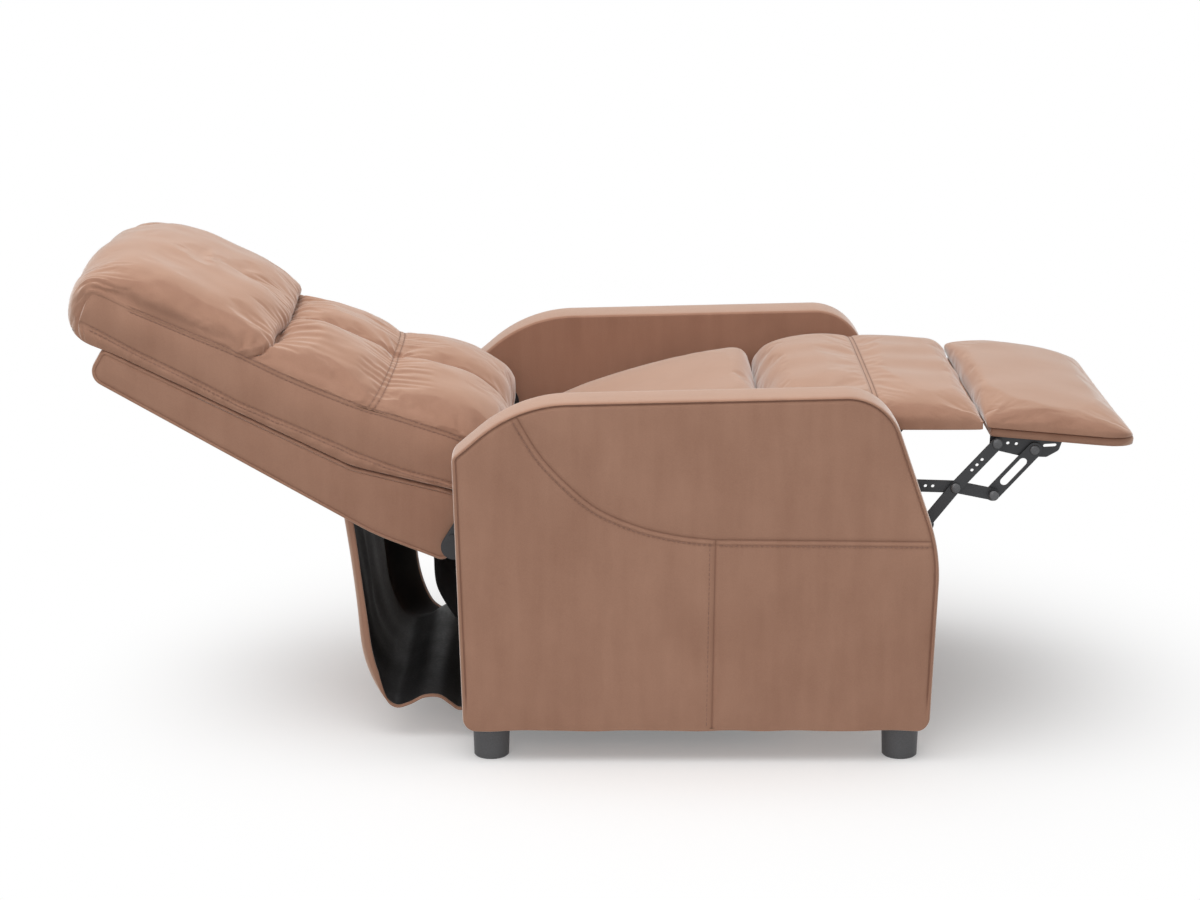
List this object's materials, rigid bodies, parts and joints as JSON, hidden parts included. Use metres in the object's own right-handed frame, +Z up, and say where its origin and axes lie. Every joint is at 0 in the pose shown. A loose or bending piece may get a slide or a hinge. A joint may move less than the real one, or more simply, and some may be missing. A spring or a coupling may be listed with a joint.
{
  "type": "recliner chair",
  "caption": "Velvet push-back recliner with a tilting back, a seat that lifts with it and a folding footrest on a steel linkage between upholstered arms.",
  "frame": {"origin": "on the floor, under the middle of the chair's box in its reclined rest pose", "axes": "+X to the front, along the footrest; +Y to the sitter's left; +Z up"},
  "size_m": [1.5014, 0.7, 0.6939],
  "materials": {
    "velvet": "short-pile velvet, dusty rose brown",
    "dark_steel": "dark grey powder coat",
    "timber": "bare plywood and pine",
    "black_cloth": "black lining cloth and webbing",
    "foot_plastic": "matt dark grey",
    "zinc_steel": "zinc plated",
    "spring_steel": "oiled spring wire"
  },
  "bodies": {
    "base": {"foot_rear_right": "foot_plastic", "foot_rear_left": "foot_plastic", "foot_front_right": "foot_plastic", "foot_front_left": "foot_plastic", "foot_bolts": "zinc_steel", "front_rail": "timber", "rear_rail": "timber", "rail_bolts": "zinc_steel", "dust_cover": "black_cloth", "base_plate_screws": "zinc_steel", "base_plate_right": "dark_steel", "base_plate_left": "dark_steel", "arm_cover_right": "velvet", "arm_cover_left": "velvet", "arm_frame_right": "timber", "arm_frame_left": "timber", "base_pivot_pins": "zinc_steel", "rear_lining": "black_cloth"},
    "seat": {"seat_rail_front": "timber", "seat_rail_rear": "timber", "seat_springs": "spring_steel", "linkage_pivot_pins": "zinc_steel", "seat_plate_screws": "zinc_steel", "seat_plate_right": "dark_steel", "seat_plate_left": "dark_steel", "seat_rail_right": "timber", "seat_rail_left": "timber", "seat_cushion": "velvet", "seat_front_pad": "velvet", "flap_hinge_seat_leaf": "dark_steel"},
    "flap": {"flap_hinge_leaf": "dark_steel", "flap_board": "timber", "flap_pad": "velvet"},
    "lift_crank": {"lift_links": "dark_steel", "lift_cross_tube": "dark_steel"},
    "main_link": {"main_links": "dark_steel"},
    "long_link": {"long_links": "dark_steel"},
    "slotted_link": {"slotted_links": "dark_steel"},
    "guide_link": {"guide_links": "dark_steel", "guide_tube": "dark_steel"},
    "footrest": {"footrest_bracket_right": "dark_steel", "footrest_bracket_left": "dark_steel", "footrest_board": "timber", "footrest_screws": "zinc_steel", "footrest_pad": "velvet"},
    "back": {"back_shell": "velvet", "back_post_right": "timber", "back_post_left": "timber", "back_rail_top": "timber", "back_rail_bottom": "timber", "back_webbing": "black_cloth", "back_bracket_right": "dark_steel", "back_bracket_left": "dark_steel", "back_bracket_screws": "zinc_steel", "back_cushion": "velvet", "head_cushion": "velvet", "control_bracket": "dark_steel"},
    "control_rod": {"control_rod": "dark_steel"},
    "skirt_lower": {"rear_skirt_lower": "velvet"},
    "skirt_upper": {"rear_skirt_upper": "velvet"}
  },
  "joints": [
    {"name": "back_recline", "type": "hinge", "parent": "base", "child": "back", "pos_m": [-0.14925, 0, 0.38], "axis": [0, 1, 0], "range_deg": [0, 48]},
    {"name": "seat_tilt", "type": "hinge", "parent": "base", "child": "seat", "pos_m": [-0.06925, 0, 0.27], "axis": [0, 1, 0], "range_deg": [0, 6.1]},
    {"name": "lift_swing", "type": "hinge", "parent": "base", "child": "lift_crank", "pos_m": [0.19402, 0, 0.30172], "axis": [0, 1, 0], "range_deg": [0, 45.09]},
    {"name": "rod_swing", "type": "hinge", "parent": "back", "child": "control_rod", "pos_m": [-0.18924, 0, 0.26202], "axis": [0, 1, 0], "range_deg": [-46.03, 0]},
    {"name": "skirt_rise", "type": "hinge", "parent": "base", "child": "skirt_lower", "pos_m": [-0.17125, 0, 0.0497], "axis": [0, 1, 0], "range_deg": [0, 73.26], "deforming": ["rear_skirt_lower"]},
    {"name": "skirt_unfold", "type": "hinge", "parent": "skirt_lower", "child": "skirt_upper", "pos_m": [-0.28825, 0, 0.046], "axis": [0, 1, 0], "range_deg": [-77.57, 0], "deforming": ["rear_skirt_upper"]},
    {"name": "footrest_fold", "type": "hinge", "parent": "seat", "child": "main_link", "pos_m": [0.32708, 0, 0.38026], "axis": [0, 1, 0], "range_deg": [0, 79]},
    {"name": "long_link_swing", "type": "hinge", "parent": "main_link", "child": "long_link", "pos_m": [0.49875, 0, 0.37491], "axis": [0, 1, 0], "range_deg": [-94.5, 0]},
    {"name": "slotted_link_swing", "type": "hinge", "parent": "main_link", "child": "slotted_link", "pos_m": [0.55275, 0, 0.36391], "axis": [0, 1, 0], "range_deg": [-94.5, 0]},
    {"name": "footrest_turn", "type": "hinge", "parent": "long_link", "child": "footrest", "pos_m": [0.55575, 0, 0.43791], "axis": [0, 1, 0], "range_deg": [0, 94.5]},
    {"name": "guide_link_swing", "type": "hinge", "parent": "seat", "child": "guide_link", "pos_m": [0.29107, 0, 0.30759], "axis": [0, 1, 0], "range_deg": [0, 82.11]},
    {"name": "flap_fold", "type": "hinge", "parent": "seat", "child": "flap", "pos_m": [0.38525, 0, 0.45492], "axis": [0, 1, 0], "range_deg": [0, 84.5]}
  ],
  "couplings": [
    {"joint": "seat_tilt", "follows": "back_recline", "ratio": 0.125},
    {"joint": "lift_swing", "follows": "back_recline", "ratio": 0.92897},
    {"joint": "rod_swing", "follows": "back_recline", "ratio": -0.94856},
    {"joint": "skirt_rise", "follows": "back_recline", "ratio": 1.5158},
    {"joint": "skirt_unfold", "follows": "back_recline", "ratio": -1.6056},
    {"joint": "long_link_swing", "follows": "footrest_fold", "ratio": -1.1899},
    {"joint": "slotted_link_swing", "follows": "footrest_fold", "ratio": -1.1899},
    {"joint": "footrest_turn", "follows": "footrest_fold", "ratio": 1.1899},
    {"joint": "guide_link_swing", "follows": "footrest_fold", "ratio": 1.0331},
    {"joint": "flap_fold", "follows": "footrest_fold", "ratio": 1.0633}
  ]
}
